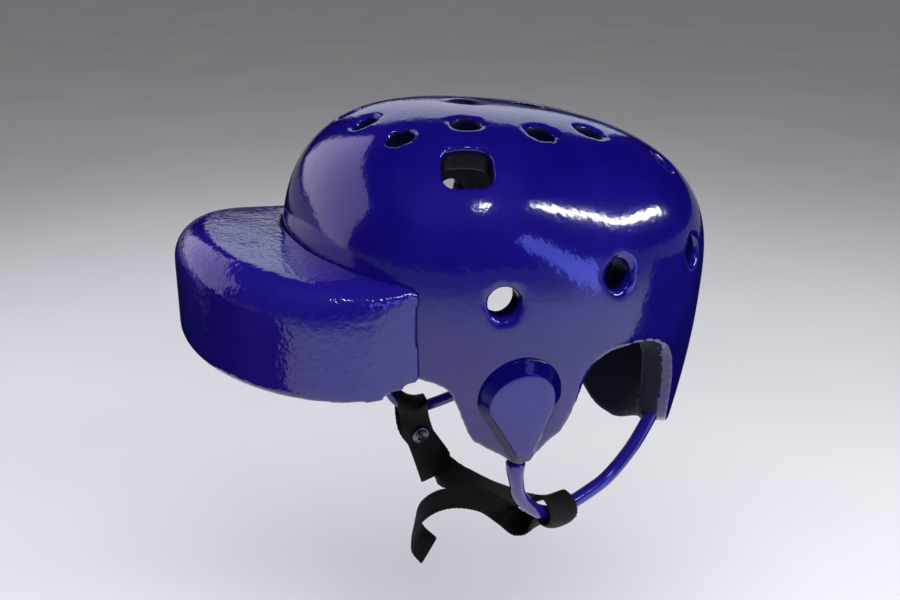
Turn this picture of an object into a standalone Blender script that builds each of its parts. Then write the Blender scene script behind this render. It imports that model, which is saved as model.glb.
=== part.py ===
"""Protective helmet: a padded foam shell with a foam visor, ear pads, cord loops and a chin strap with a snap.

Lengths are metres. The front is -Y, the wearer's left is +X and up is +Z. Every piece hangs from the
empty "helmet", which lies at the height of the shell's widest section, so the world origin is the
highest point of the hollow, where the helmet sits on a head.
"""

import math

import bmesh
import bpy
from mathutils import Matrix, Vector

GAP = 0.0003

SHELL_HALF_WIDTH = 0.0958
SHELL_FRONT = 0.1030
SHELL_BACK = 0.1180
CROWN_HEIGHT = 0.0840
CROWN_FALL = 0.09
PLAN_POWER = 2.40
CROWN_POWER = 2.68
WALL = 0.0160

BROW_DEPTH = 0.0250
EAR_DEPTH = 0.0740
ARCH_DEPTH = 0.0190
NAPE_DEPTH = 0.1100
FLAP_TIP_PLACE = -0.243
NAPE_CORNER_PLACE = 0.715
NAPE_CORNER_SHARE = 0.72

VENT_DIAMETER = 0.0132
SIDE_VENT_DIAMETER = 0.0150
SQUARE_VENT_WIDTH = 0.0225
SQUARE_VENT_HEIGHT = 0.0205
SQUARE_VENT_CORNER = 0.0055

VISOR_REACH = 0.0550
VISOR_HALF_WIDTH = 0.0800
VISOR_END_FRONT = 0.0940
VISOR_TOP_FRONT = 0.0305
VISOR_TOP_END = 0.0160
VISOR_TOP_INNER = 0.0205
VISOR_BOTTOM_FRONT = 0.0225
VISOR_BOTTOM_END = 0.0300
VISOR_BOTTOM_INNER = 0.0200
VISOR_ROUNDING = 0.0150
VISOR_UNDER_ROUNDING = 0.0050
VISOR_POWER = 2.10
VISOR_STEPS = 24

PAD_RISE = 0.0045
PAD_RADIUS = 0.0200
PAD_CENTRE_FORWARD = 0.0272
PAD_CENTRE_DEPTH = 0.0340
PAD_TIP_WIDTH = 0.0090

CORD_DIAMETER = 0.0073
LOOP_DROP = 0.0430
LOOP_INSET = 0.0060
RIGHT_LOOP_SWING = 0.0170
RIGHT_LOOP_DROP = 0.0455

STRAP_WIDTH = 0.0190
STRAP_THICKNESS = 0.0016
WRAP_SLACK = 0.0032
STRAP_SAG = 0.0430
TAB_LENGTH = 0.0530
TAIL_LENGTH = 0.0930
SNAP_DIAMETER = 0.0115
SNAP_HEIGHT = 0.0026
SNAP_SEAT = 0.0008

RING_COLUMNS = 56
CROWN_RINGS = 10
VENT_SIDES = 16
VENT_CUT = 0.0420
PATH_STEPS = 3
SNAP_SIDES = 20

# The skirt below the widest section: depth as a share of NAPE_DEPTH, girth as a share of the widest.
SKIRT = (
    ("depth", "girth"),
    (0.14, 0.996),
    (0.28, 0.988),
    (0.42, 0.974),
    (0.56, 0.956),
    (0.70, 0.934),
    (0.85, 0.908),
    (1.00, 0.878),
    (1.16, 0.845),
)

# The rim of the left half, from the brow's middle to the nape's: place along the level curve as a share
# of the front or back reach, and depth as a share of a named depth.
RIM = (
    ("place", "depth name", "share"),
    (-1.000, "brow", 0.96),
    (-0.930, "brow", 0.96),
    (-0.716, "brow", 1.00),
    (-0.630, "brow", 1.08),
    (-0.580, "brow", 1.24),
    (-0.553, "ear", 0.51),
    (-0.531, "ear", 0.61),
    (-0.485, "ear", 0.76),
    (-0.388, "ear", 0.86),
    (-0.292, "ear", 0.955),
    (FLAP_TIP_PLACE, "ear", 1.00),
    (-0.194, "ear", 0.965),
    (-0.120, "ear", 0.87),
    (-0.040, "ear", 0.79),
    (0.012, "ear", 0.68),
    (0.040, "ear", 0.54),
    (0.069, "arch", 1.58),
    (0.111, "arch", 1.26),
    (0.188, "arch", 1.05),
    (0.282, "arch", 1.00),
    (0.402, "arch", 1.10),
    (0.479, "arch", 1.31),
    (0.545, "nape", 0.29),
    (0.605, "nape", 0.41),
    (0.640, "nape", 0.52),
    (0.672, "nape", 0.63),
    (NAPE_CORNER_PLACE, "nape", NAPE_CORNER_SHARE),
    (0.800, "nape", 0.79),
    (0.900, "nape", 0.85),
    (0.965, "nape", 0.915),
    (1.000, "nape", 1.00),
)

# Round vents over the crown: across as a share of the half width, along as a share of front or back reach.
CROWN_VENTS = (
    ("across", "along"),
    (0.00, -0.64),
    (0.00, -0.12),
    (0.00, 0.21),
    (0.00, 0.46),
    (0.34, -0.60),
    (0.40, -0.30),
    (0.53, 0.02),
    (0.47, 0.28),
    (0.55, 0.63),
)

# Round vents in the level ring round the sides: along as above, height as a share of the crown height.
SIDE_VENTS = (
    ("along", "height"),
    (-0.36, 0.15),
    (0.18, 0.22),
    (0.65, 0.22),
)

SQUARE_VENT_ACROSS = 0.68
SQUARE_VENT_ALONG = -0.42

# A cord loop from the tip of an ear flap to the nape: share of the way, drop and inset as shares.
LOOP = (
    ("way", "drop", "inset"),
    (0.000, 0.00, 0.00),
    (0.000, 0.10, 0.00),
    (0.015, 0.25, 0.10),
    (0.057, 0.51, 0.50),
    (0.155, 0.78, 0.80),
    (0.258, 0.94, 0.95),
    (0.365, 0.99, 0.95),
    (0.550, 0.89, 0.70),
    (0.704, 0.75, 0.50),
    (0.849, 0.48, 0.30),
    (0.945, 0.20, 0.15),
    (1.010, -0.06, 0.00),
    (1.060, -0.26, 0.00),
)
WRAP_PLACES = {"left": 0.472, "right": 0.444}

# The strap between the loops: share of the way, drop as a share of the sag, shift towards the back as a
# share of the strap's width, and the direction of its width.
CROSSING = (
    ("way", "drop", "shift", "width direction"),
    (0.008, 0.26, 0.05, (0.00, 0.97, 0.24)),
    (0.016, 0.47, 0.30, (0.00, 0.95, 0.31)),
    (0.015, 0.70, 0.62, (0.00, 0.85, 0.52)),
    (0.018, 0.91, 0.92, (0.05, 0.65, 0.76)),
    (0.050, 1.04, 1.02, (0.30, 0.40, 0.86)),
    (0.165, 0.99, 0.85, (0.30, 0.70, 0.65)),
    (0.390, 0.76, 0.66, (0.10, 0.95, 0.30)),
    (0.625, 0.44, 0.26, (-0.06, 0.99, 0.12)),
    (0.825, 0.15, 0.00, (-0.12, 0.99, 0.03)),
    (0.920, -0.03, -0.05, (-0.14, 0.99, 0.00)),
)

# The snapped tab, from its end up to the cord: places from the wrap as shares of the tab's length.
TAB = (
    ("place", "width direction"),
    ((0.135, 0.29, -0.96), (0.05, 0.96, 0.28)),
    ((0.100, 0.20, -0.64), (0.03, 0.96, 0.28)),
    ((0.090, 0.10, -0.34), (0.00, 0.96, 0.28)),
    ((0.118, 0.04, -0.16), (0.00, 0.97, 0.24)),
)

# Rows between a snap and the strap's nearer end.
TAB_SNAP_ROW = 2
TAIL_SNAP_ROW = 6

# The loose tail, from the wrap to its end: places from the wrap as shares of the tail's length.
TAIL = (
    ("place", "width direction"),
    ((-0.095, -0.040, -0.135), (-0.25, 0.96, 0.00)),
    ((-0.165, -0.110, -0.145), (-0.50, 0.85, 0.05)),
    ((-0.215, -0.200, -0.075), (-0.72, 0.68, 0.10)),
    ((-0.274, -0.310, 0.000), (-0.85, 0.52, 0.10)),
    ((-0.349, -0.446, 0.006), (-0.89, 0.44, 0.00)),
    ((-0.430, -0.545, -0.058), (-0.88, 0.44, 0.05)),
    ((-0.498, -0.606, -0.180), (-0.80, 0.48, 0.16)),
    ((-0.525, -0.590, -0.330), (-0.68, 0.62, 0.26)),
    ((-0.489, -0.530, -0.419), (-0.60, 0.74, 0.31)),
)


def spow(value, power):
    """The power of a value's size, with the value's sign."""
    return math.copysign(abs(value) ** power, value)


def shell_length(y):
    return SHELL_BACK if y > 0 else SHELL_FRONT


def skirt_girth(depth):
    """Girth share at a depth below the widest section."""
    rows = ((0.0, 1.0),) + SKIRT[1:]
    share = depth / NAPE_DEPTH
    for (d0, g0), (d1, g1) in zip(rows, rows[1:]):
        if share <= d1:
            return g0 + (g1 - g0) * (share - d0) / (d1 - d0)
    return rows[-1][1]


def girth(y, z):
    """Girth share of the outer surface's level curve through a point."""
    if z <= 0:
        return skirt_girth(-z)
    rise = min(z / CROWN_HEIGHT, 1.0)
    level = min((z + CROWN_FALL * y * rise) / CROWN_HEIGHT, 1.0)
    return max(1.0 - abs(level) ** CROWN_POWER, 0.0) ** (1 / CROWN_POWER)


def beyond(point):
    """Positive outside the shell's outer surface, negative inside."""
    across = abs(point.x / SHELL_HALF_WIDTH) ** PLAN_POWER
    along = abs(point.y / shell_length(point.y)) ** PLAN_POWER
    return (across + along) ** (1 / PLAN_POWER) - girth(point.y, point.z)


def outward(point):
    """Unit normal of the shell's outer surface at a point on it."""
    step = 0.0004
    slopes = []
    for axis in (Vector((1, 0, 0)), Vector((0, 1, 0)), Vector((0, 0, 1))):
        slopes.append(beyond(point + step * axis) - beyond(point - step * axis))
    return Vector(slopes).normalized()


def on_side(y, z, side=1):
    """Point of the outer surface at a length and height, on one side."""
    share = girth(y, z) ** PLAN_POWER - abs(y / shell_length(y)) ** PLAN_POWER
    return Vector((side * SHELL_HALF_WIDTH * max(share, 0.0) ** (1 / PLAN_POWER), y, z))


def on_crown(x, y):
    """Point of the outer surface above the widest section, over a place in plan."""
    low, high = 0.0, 1.3 * CROWN_HEIGHT
    for _ in range(40):
        middle = (low + high) / 2
        if beyond(Vector((x, y, middle))) < 0:
            low = middle
        else:
            high = middle
    return Vector((x, y, low))


def along_shell(share):
    return share * (SHELL_BACK if share > 0 else SHELL_FRONT)


def smooth_path(points, steps):
    """A Catmull-Rom curve through the points, ends included."""
    points = [Vector(p) for p in points]
    ends = [2 * points[0] - points[1]] + points + [2 * points[-1] - points[-2]]
    path = []
    for i in range(1, len(ends) - 2):
        a, b, c, d = ends[i - 1 : i + 3]
        for j in range(steps):
            t = j / steps
            curve = 2 * b + (c - a) * t + (2 * a - 5 * b + 4 * c - d) * t**2
            path.append((curve + (3 * b - a - 3 * c + d) * t**3) / 2)
    return path + [points[-1]]


def new_object(name, bm, collection):
    """A linked object from a bmesh, hung from the helmet's empty."""
    bmesh.ops.recalc_face_normals(bm, faces=bm.faces)
    mesh = bpy.data.meshes.new(name)
    bm.to_mesh(mesh)
    bm.free()
    made = bpy.data.objects.new(name, mesh)
    collection.objects.link(made)
    made.parent = helmet
    return made


def as_cutter(made):
    made.hide_render = True
    made.display_type = "WIRE"
    return made


def boolean(target, other, operation):
    cut = target.modifiers.new(f"{operation.lower()} {other.name}", "BOOLEAN")
    cut.operation = operation
    cut.object = other
    cut.solver = "EXACT"


def paint(made, name, colour, roughness, metallic=0.0, coat=0.0):
    """A Principled material on one object."""
    material = bpy.data.materials.new(name)
    material.use_nodes = True
    shader = material.node_tree.nodes["Principled BSDF"]
    shader.inputs["Base Color"].default_value = (*colour, 1)
    shader.inputs["Roughness"].default_value = roughness
    shader.inputs["Metallic"].default_value = metallic
    shader.inputs["Coat Weight"].default_value = coat
    material.diffuse_color = (*colour, 1)
    made.data.materials.append(material)


def round_off(made, angle=35):
    """Smooth shading with creases kept."""
    made.data.shade_smooth()
    made.data.set_sharp_from_angle(angle=math.radians(angle))


def add_ring(bm, points):
    return [bm.verts.new(p) for p in points]


def bridge(bm, first, second):
    """Faces between two closed rings of equal length."""
    count = len(first)
    for i in range(count):
        j = (i + 1) % count
        bm.faces.new((first[i], first[j], second[j], second[i]))


def loft(bm, rings):
    """A closed solid through rings of equal length, capped at both ends."""
    made = [add_ring(bm, ring) for ring in rings]
    for first, second in zip(made, made[1:]):
        bridge(bm, first, second)
    bm.faces.new(made[0])
    bm.faces.new(made[-1])


def shell_surface(grow=0.0, closed=False):
    """The shell's outer surface as a bmesh, moved out by a distance, with its foot closed or open."""
    bm = bmesh.new()
    rings = []
    for row in range(len(SKIRT) - 1, 0, -1):
        depth, share = SKIRT[row]
        rings.append((-depth * NAPE_DEPTH, share, 0.0))
    rings.append((0.0, 1.0, 0.0))
    for row in range(1, CROWN_RINGS):
        angle = math.radians(90 * row / CROWN_RINGS)
        lift = math.sin(angle) ** (2 / CROWN_POWER)
        rings.append((CROWN_HEIGHT * lift, math.cos(angle) ** (2 / CROWN_POWER), lift))
    made = []
    for height, share, lift in rings:
        ring = []
        for column in range(RING_COLUMNS):
            angle = 2 * math.pi * column / RING_COLUMNS
            x = SHELL_HALF_WIDTH * share * spow(math.cos(angle), 2 / PLAN_POWER)
            side = spow(math.sin(angle), 2 / PLAN_POWER)
            y = share * side * shell_length(side)
            ring.append((x, y, height - CROWN_FALL * y * lift))
        made.append(add_ring(bm, ring))
    for first, second in zip(made, made[1:]):
        bridge(bm, first, second)
    apex = bm.verts.new((0, 0, CROWN_HEIGHT))
    for i in range(RING_COLUMNS):
        bm.faces.new((made[-1][i], made[-1][(i + 1) % RING_COLUMNS], apex))
    if closed:
        bm.faces.new(made[0])
    bmesh.ops.recalc_face_normals(bm, faces=bm.faces)
    bm.normal_update()
    if grow:
        moves = [(v, v.normal.copy()) for v in bm.verts]
        for vert, normal in moves:
            if vert.co.z > -NAPE_DEPTH:
                vert.co += grow * normal
            else:
                vert.co += grow * Vector((normal.x, normal.y, 0)).normalized()
    return bm


def make_rim_cutter():
    """All that lies below the rim, cut along lines from the middle so that the edge is square to the wall."""
    depths = {"brow": BROW_DEPTH, "ear": EAR_DEPTH, "arch": ARCH_DEPTH, "nape": NAPE_DEPTH}
    line = [(spow(place, PLAN_POWER / 2), share * depths[name], 0) for place, name, share in RIM[1:]]
    left = [(math.asin(max(-1.0, min(1.0, p.x))), p.y) for p in smooth_path(line, PATH_STEPS)]
    right = [(math.pi - angle, depth) for angle, depth in reversed(left[1:-1])]
    floor = 1.4 * NAPE_DEPTH
    rings = []
    for angle, depth in left + right:
        ring = []
        for share, down in ((0.3, depth), (1.3, depth), (1.3, floor), (0.3, floor)):
            x = SHELL_HALF_WIDTH * share * spow(math.cos(angle), 2 / PLAN_POWER)
            along = share * spow(math.sin(angle), 2 / PLAN_POWER)
            ring.append((x, along * shell_length(along), -down))
        rings.append(ring)
    bm = bmesh.new()
    made = [add_ring(bm, ring) for ring in rings]
    for first, second in zip(made, made[1:] + made[:1]):
        bridge(bm, first, second)
    return as_cutter(new_object("rim_cutter", bm, cutters))


def turned_to(point, normal, up=Vector((0, 0, 1))):
    """Matrix whose Z is the normal and whose Y leans towards up, at a point."""
    side = up.cross(normal).normalized()
    over = normal.cross(side)
    return Matrix.Translation(point) @ Matrix((side, over, normal)).transposed().to_4x4()


def rounded_square(width, height, corner):
    """Outline of a rounded rectangle, four points to a corner."""
    outline = []
    for quarter in range(4):
        turn = math.radians(90 * quarter)
        sx = 1 if quarter in (0, 3) else -1
        sy = 1 if quarter in (0, 1) else -1
        for part in range(4):
            angle = turn + math.radians(30 * part)
            x = sx * (width / 2 - corner) + corner * math.cos(angle)
            y = sy * (height / 2 - corner) + corner * math.sin(angle)
            outline.append((x, y))
    return outline


def make_vent_cutter():
    """Plugs through the wall: round ones over the crown and round the sides, and two rounded squares."""
    bm = bmesh.new()
    plugs = []
    for across, along in CROWN_VENTS[1:]:
        for side in (-1, 1) if across else (1,):
            place = on_crown(side * across * SHELL_HALF_WIDTH, along_shell(along))
            plugs.append((place, VENT_DIAMETER))
    for along, height in SIDE_VENTS[1:]:
        for side in (-1, 1):
            place = on_side(along_shell(along), height * CROWN_HEIGHT, side)
            plugs.append((place, SIDE_VENT_DIAMETER))
    for place, diameter in plugs:
        bmesh.ops.create_cone(
            bm,
            cap_ends=True,
            segments=VENT_SIDES,
            radius1=diameter / 2,
            radius2=diameter / 2,
            depth=VENT_CUT,
            matrix=turned_to(place - 0.5 * WALL * outward(place), outward(place), Vector((0, 1, 0.3))),
        )
    outline = rounded_square(SQUARE_VENT_WIDTH, SQUARE_VENT_HEIGHT, SQUARE_VENT_CORNER)
    for side in (-1, 1):
        place = on_crown(side * SQUARE_VENT_ACROSS * SHELL_HALF_WIDTH, along_shell(SQUARE_VENT_ALONG))
        frame = turned_to(place - 0.5 * WALL * outward(place), outward(place))
        loft(bm, [[frame @ Vector((x, y, z)) for x, y in outline] for z in (-VENT_CUT / 2, VENT_CUT / 2)])
    return as_cutter(new_object("vent_cutter", bm, cutters))


def make_shell():
    """The padded shell: an open surface thickened inwards, then cut along its rim and at its vents."""
    shell = new_object("foam_shell", shell_surface(), parts)
    wall = shell.modifiers.new("wall", "SOLIDIFY")
    wall.thickness = WALL
    wall.offset = -1
    wall.use_even_offset = True
    boolean(shell, make_rim_cutter(), "DIFFERENCE")
    boolean(shell, make_vent_cutter(), "DIFFERENCE")
    paint(shell, "indigo_vinyl", (0.045, 0.022, 0.33), 0.12, coat=0.8)
    round_off(shell)
    return shell


def visor_section(angle):
    """One upright section of the visor, from inside the shell out to its front face and back."""
    across = spow(math.sin(angle), 2 / VISOR_POWER)
    ahead = abs(math.cos(angle)) ** (2 / VISOR_POWER)
    tip_reach = SHELL_FRONT + VISOR_REACH - VISOR_END_FRONT
    tip = Vector((VISOR_HALF_WIDTH * across, -VISOR_END_FRONT - tip_reach * ahead, 0))
    root = Vector((0.93 * VISOR_HALF_WIDTH * across, -0.50 * SHELL_FRONT - 0.25 * SHELL_FRONT * ahead, 0))
    way = (tip - root).normalized()
    length = (tip - root).length
    top = VISOR_TOP_END + (VISOR_TOP_FRONT - VISOR_TOP_END) * ahead
    bottom = -VISOR_BOTTOM_END + (VISOR_BOTTOM_END - VISOR_BOTTOM_FRONT) * ahead
    section = [(0.0, VISOR_TOP_INNER)]
    for part in range(5):
        turn = math.radians(90 * part / 4)
        out = length - VISOR_ROUNDING * (1 - math.sin(turn))
        section.append((out, top - VISOR_ROUNDING * (1 - math.cos(turn))))
    for part in range(3):
        turn = math.radians(90 * part / 2)
        out = length - VISOR_UNDER_ROUNDING * (1 - math.cos(turn))
        section.append((out, bottom + VISOR_UNDER_ROUNDING * (1 - math.sin(turn))))
    section.append((0.0, -VISOR_BOTTOM_INNER))
    return [root + out * way + Vector((0, 0, height)) for out, height in section]


def make_visor():
    """The foam block over the brow, fitted to the shell's curve."""
    bm = bmesh.new()
    loft(bm, [visor_section(math.pi * (i / VISOR_STEPS - 0.5)) for i in range(VISOR_STEPS + 1)])
    visor = new_object("visor_block", bm, parts)
    seat = new_object("visor_seat", shell_surface(GAP, closed=True), cutters)
    boolean(visor, as_cutter(seat), "DIFFERENCE")
    paint(visor, "navy_vinyl", (0.05, 0.035, 0.28), 0.16, coat=0.8)
    round_off(visor)


def pad_outline():
    """Side view of an ear pad: a round head drawn down to a narrow tip on the flap's tip."""
    centre = Vector((-PAD_CENTRE_FORWARD, -PAD_CENTRE_DEPTH, 0))
    tip_y = along_shell(FLAP_TIP_PLACE * skirt_girth(EAR_DEPTH))
    outline = []
    for part in range(17):
        turn = math.radians(-12 + 204 * part / 16)
        outline.append(centre + PAD_RADIUS * Vector((math.cos(turn), math.sin(turn), 0)))
    for y in (tip_y - PAD_TIP_WIDTH / 2, tip_y + PAD_TIP_WIDTH / 2):
        outline.append(Vector((y, -EAR_DEPTH + 0.5 * CORD_DIAMETER, 0)))
    return outline


def make_ear_pads(grown):
    """A raised teardrop on each ear flap."""
    for side, name in ((1, "ear_pad_left"), (-1, "ear_pad_right")):
        bm = bmesh.new()
        edge, core = 1.2 * SHELL_HALF_WIDTH, 0.6 * SHELL_HALF_WIDTH
        outline = pad_outline()
        loft(bm, [[(side * x, p.x, p.y) for p in outline] for x in (core, edge)])
        pad = new_object(name, bm, parts)
        boolean(pad, grown["over"], "INTERSECT")
        boolean(pad, grown["seat"], "DIFFERENCE")
        paint(pad, f"{name}_vinyl", (0.07, 0.05, 0.34), 0.2, coat=0.6)
        round_off(pad)


def tube(name, points, diameter, collection):
    """A capped round tube through the points, as a curve with a bevel."""
    curve = bpy.data.curves.new(name, "CURVE")
    curve.dimensions = "3D"
    curve.bevel_depth = diameter / 2
    curve.bevel_resolution = 3
    curve.use_fill_caps = True
    spline = curve.splines.new("POLY")
    spline.points.add(len(points) - 1)
    for place, point in zip(spline.points, points):
        place.co = (*point, 1)
    made = bpy.data.objects.new(name, curve)
    collection.objects.link(made)
    made.parent = helmet
    return made


def loop_ends(side):
    """Where a cord loop leaves the ear flap's tip and meets the rim at the nape's lower corner."""
    corner_depth = NAPE_CORNER_SHARE * NAPE_DEPTH
    tip = on_side(along_shell(FLAP_TIP_PLACE * skirt_girth(EAR_DEPTH)), -EAR_DEPTH, side)
    seat = tip - 0.35 * WALL * outward(tip)
    seat.z = -EAR_DEPTH - GAP
    corner = on_side(along_shell(NAPE_CORNER_PLACE * skirt_girth(corner_depth)), -corner_depth, side)
    return seat, corner - 0.5 * WALL * outward(corner)


def loop_point(side, way, drop, inset):
    tip, corner = loop_ends(side)
    depth = LOOP_DROP if side > 0 else RIGHT_LOOP_DROP
    swing = 0.0 if side > 0 else RIGHT_LOOP_SWING * max(drop, 0.0)
    return tip.lerp(corner, way) + Vector((-side * inset * LOOP_INSET, -swing, -drop * depth))


def loop_route(side):
    return smooth_path([loop_point(side, *row) for row in LOOP[1:]], PATH_STEPS)


def make_cord_loops(shell):
    """The coated cords. Each butts on its flap's tip and runs into a socket in the nape."""
    for side, name in ((1, "cord_loop_left"), (-1, "cord_loop_right")):
        route = loop_route(side)
        cord = tube(name, route, CORD_DIAMETER, parts)
        paint(cord, f"{name}_vinyl", (0.05, 0.035, 0.38), 0.15, coat=0.8)
        last = route[-1] + GAP * (route[-1] - route[-2]).normalized()
        socket = tube(f"{name}_socket", route[len(route) // 2 :] + [last], CORD_DIAMETER + 2 * GAP, cutters)
        boolean(shell, as_cutter(as_mesh(socket)), "DIFFERENCE")


def as_mesh(curve_object):
    """A curve object turned into a welded mesh object of the same name and place."""
    name, collection = curve_object.name, curve_object.users_collection[0]
    bpy.context.view_layer.update()
    graph = bpy.context.evaluated_depsgraph_get()
    mesh = bpy.data.meshes.new_from_object(curve_object.evaluated_get(graph))
    bpy.data.objects.remove(curve_object)
    bm = bmesh.new()
    bm.from_mesh(mesh)
    bpy.data.meshes.remove(mesh)
    bmesh.ops.remove_doubles(bm, verts=bm.verts, dist=0.00001)
    return new_object(name, bm, collection)


def wrap_frame(side, place):
    """Centre, outward and cord directions where the strap wraps a loop, and how far the cord bows there."""
    route = loop_route(side)
    at = round(place * (len(route) - 1))
    before, here, after = route[at - 2], route[at], route[at + 2]
    cord = (after - before).normalized()
    out = Vector((side, 0, 0))
    out = (out - out.dot(cord) * cord).normalized()
    bow = (before + after - 2 * here) * (STRAP_WIDTH / (after - before).length) ** 2 / 2
    return here, out, cord, bow - bow.dot(cord) * cord


def wrap_rows(frame, first, last):
    """Strap rows round a loop, from one angle to another, 0 being outward and 90 up."""
    centre, out, cord, bow = frame
    around = CORD_DIAMETER / 2 + WRAP_SLACK + STRAP_THICKNESS / 2
    rows = []
    for turn in range(first, last - 1, -30):
        angle = math.radians(turn)
        spoke = math.cos(angle) * out + math.sin(angle) * Vector((0, 0, 1))
        rows.append((centre + around * spoke, cord, bow))
    return rows


def strap_path():
    """Places, width directions and bows along the strap, from the tab's end to the tail's end."""
    near, far = wrap_frame(1, WRAP_PLACES["left"]), wrap_frame(-1, WRAP_PLACES["right"])
    flat = Vector((0, 0, 0))
    rows = [(far[0] + TAB_LENGTH * Vector(place), Vector(width), flat) for place, width in TAB[1:]]
    rows += wrap_rows(far, 180, 0)
    for way, drop, shift, width in CROSSING[1:]:
        place = far[0].lerp(near[0], way) + Vector((0, shift * STRAP_WIDTH, -drop * STRAP_SAG))
        rows.append((place, Vector(width), flat))
    rows += wrap_rows(near, 120, -120)
    rows += [(near[0] + TAIL_LENGTH * Vector(place), Vector(width), flat) for place, width in TAIL[1:]]
    return [smooth_path([row[i] for row in rows], PATH_STEPS) for i in range(3)]


def ribbon_frame(places, widths, i):
    """Width and face directions of the strap at one place of its path."""
    run = (places[min(i + 1, len(places) - 1)] - places[max(i - 1, 0)]).normalized()
    across = (widths[i] - widths[i].dot(run) * run).normalized()
    return across, across.cross(run).normalized()


def make_strap():
    """One webbing strap: tab, wrap, crossing, wrap and tail."""
    places, widths, bows = strap_path()
    rings = []
    for i, place in enumerate(places):
        across, face = ribbon_frame(places, widths, i)
        half, thin = across * STRAP_WIDTH / 2, face * STRAP_THICKNESS / 2
        top = [place + half + bows[i] + thin, place + thin, place - half + bows[i] + thin]
        rings.append(top + [p - 2 * thin for p in reversed(top)])
    bm = bmesh.new()
    loft(bm, rings)
    strap = new_object("chin_strap", bm, parts)
    paint(strap, "black_webbing", (0.012, 0.011, 0.009), 0.85)
    return places, widths


def make_snap(name, place, face, dome):
    """A turned snap part whose flat side lies on a face of the strap."""
    rim = SNAP_DIAMETER / 2
    profile = [(0.0, dome), (0.45 * rim, dome), (0.60 * rim, 0.70 * dome), (0.92 * rim, 0.62 * dome)]
    profile += [(rim, 0.30 * dome), (0.96 * rim, 0.0), (0.0, 0.0)]
    mesh = bpy.data.meshes.new(name)
    mesh.from_pydata([(x, 0, z) for x, z in profile], [(i, i + 1) for i in range(len(profile) - 1)], [])
    snap = bpy.data.objects.new(name, mesh)
    parts.objects.link(snap)
    turn = snap.modifiers.new("turn", "SCREW")
    turn.steps = turn.render_steps = SNAP_SIDES
    turn.use_merge_vertices = True
    turn.merge_threshold = 0.00002
    snap.parent = helmet
    snap.matrix_local = turned_to(place, face)
    paint(snap, f"{name}_metal", (0.09, 0.09, 0.10), 0.3, metallic=1.0)


def make_snaps(places, widths):
    """A cap on the tab's outer face, and one on the tail's under face near the left wrap."""
    lift = STRAP_THICKNESS / 2 + SNAP_SEAT
    rows = (
        ("snap_cap_right", TAB_SNAP_ROW * PATH_STEPS, Vector((1, 0, 0))),
        ("snap_plain_left", len(places) - 1 - TAIL_SNAP_ROW * PATH_STEPS, Vector((0, 0, -1))),
    )
    for name, at, towards in rows:
        face = ribbon_frame(places, widths, at)[1]
        face = face if face.dot(towards) > 0 else -face
        make_snap(name, places[at] + lift * face, face, SNAP_HEIGHT)


for old in list(bpy.data.objects):
    bpy.data.objects.remove(old)

parts = bpy.data.collections.new("protective_helmet")
cutters = bpy.data.collections.new("cutters")
for group in (parts, cutters):
    bpy.context.scene.collection.children.link(group)

helmet = bpy.data.objects.new("helmet", None)
helmet.location = (0, 0, WALL - CROWN_HEIGHT)
parts.objects.link(helmet)

foam_shell = make_shell()
make_visor()
make_ear_pads(
    {
        "over": as_cutter(new_object("pad_over", shell_surface(PAD_RISE + GAP, closed=True), cutters)),
        "seat": as_cutter(new_object("pad_seat", shell_surface(GAP, closed=True), cutters)),
    }
)
make_cord_loops(foam_shell)
make_snaps(*make_strap())
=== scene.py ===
"""Looks of the protective helmet: dipped vinyl over foam, coated cords and a black webbing strap.

Lengths are metres, in the frame's own axes: the front is -Y, the wearer's left is +X and up is +Z.
Shapes are worked out about the shell's widest section and hung at HELMET_HEIGHT.
"""

import math

import bmesh
import bpy
from mathutils import Matrix, Vector


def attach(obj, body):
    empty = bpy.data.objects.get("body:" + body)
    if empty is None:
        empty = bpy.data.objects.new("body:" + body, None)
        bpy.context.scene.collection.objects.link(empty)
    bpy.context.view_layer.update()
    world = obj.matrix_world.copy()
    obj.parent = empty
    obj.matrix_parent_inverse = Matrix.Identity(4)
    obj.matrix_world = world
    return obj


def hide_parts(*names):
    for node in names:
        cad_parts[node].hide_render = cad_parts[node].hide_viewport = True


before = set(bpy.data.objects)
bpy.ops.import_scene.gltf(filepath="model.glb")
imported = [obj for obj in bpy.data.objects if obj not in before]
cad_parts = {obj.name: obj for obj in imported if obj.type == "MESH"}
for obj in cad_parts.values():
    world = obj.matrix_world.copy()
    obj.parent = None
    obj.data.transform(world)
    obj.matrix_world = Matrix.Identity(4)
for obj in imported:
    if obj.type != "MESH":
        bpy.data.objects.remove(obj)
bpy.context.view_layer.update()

# How fine the visible meshes are, and how often each remesh is smoothed.
SHELL_VOXEL = 0.0017
SHELL_SMOOTHING = 12
VISOR_VOXEL = 0.0013
VISOR_SMOOTHING = 7
STRAP_STEPS = 16
STRAP_COLUMNS = 8
CORD_SIDES = 24

# The webbing: the spacing of its yarns, how far they push out its edge, and the edge's thickness as a
# share of the middle's.
YARN = 0.0011
SERRATION = 0.00018
STRAP_EDGE = 0.45

# The camera fitted to the photograph.
CAMERA_AZIMUTH = 63.57
CAMERA_ELEVATION = 20.93
CAMERA_ROLL = 1.01
CAMERA_DISTANCE = 0.51093
CAMERA_RIGHT = -0.01672
CAMERA_UP = -0.02167
CAMERA_LENS = 38.09

# The studio.
FLOOR_DROP = 0.300
FLOOR_REACH = 40.0
WORLD_COLOUR = (0.96, 0.97, 1.0, 1)
WORLD_STRENGTH = 0.30
LIGHT_DISTANCE = 1.2
FLAG_DISTANCE = 0.50
FLAG_WIDTH = 0.26
WHITE = (1, 1, 1)

# Where the painted inside shade starts in the wall, how far a cord swells at the flap, and the lean at
# which a pad's face counts as its sloping band, which is painted darker as shade.
INSIDE_SHADE_DEPTH = 0.0045
CORD_FLARE = 0.30
PAD_SLOPE = 0.95

# Clearance between pieces that touch.
GAP = 0.0003

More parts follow.
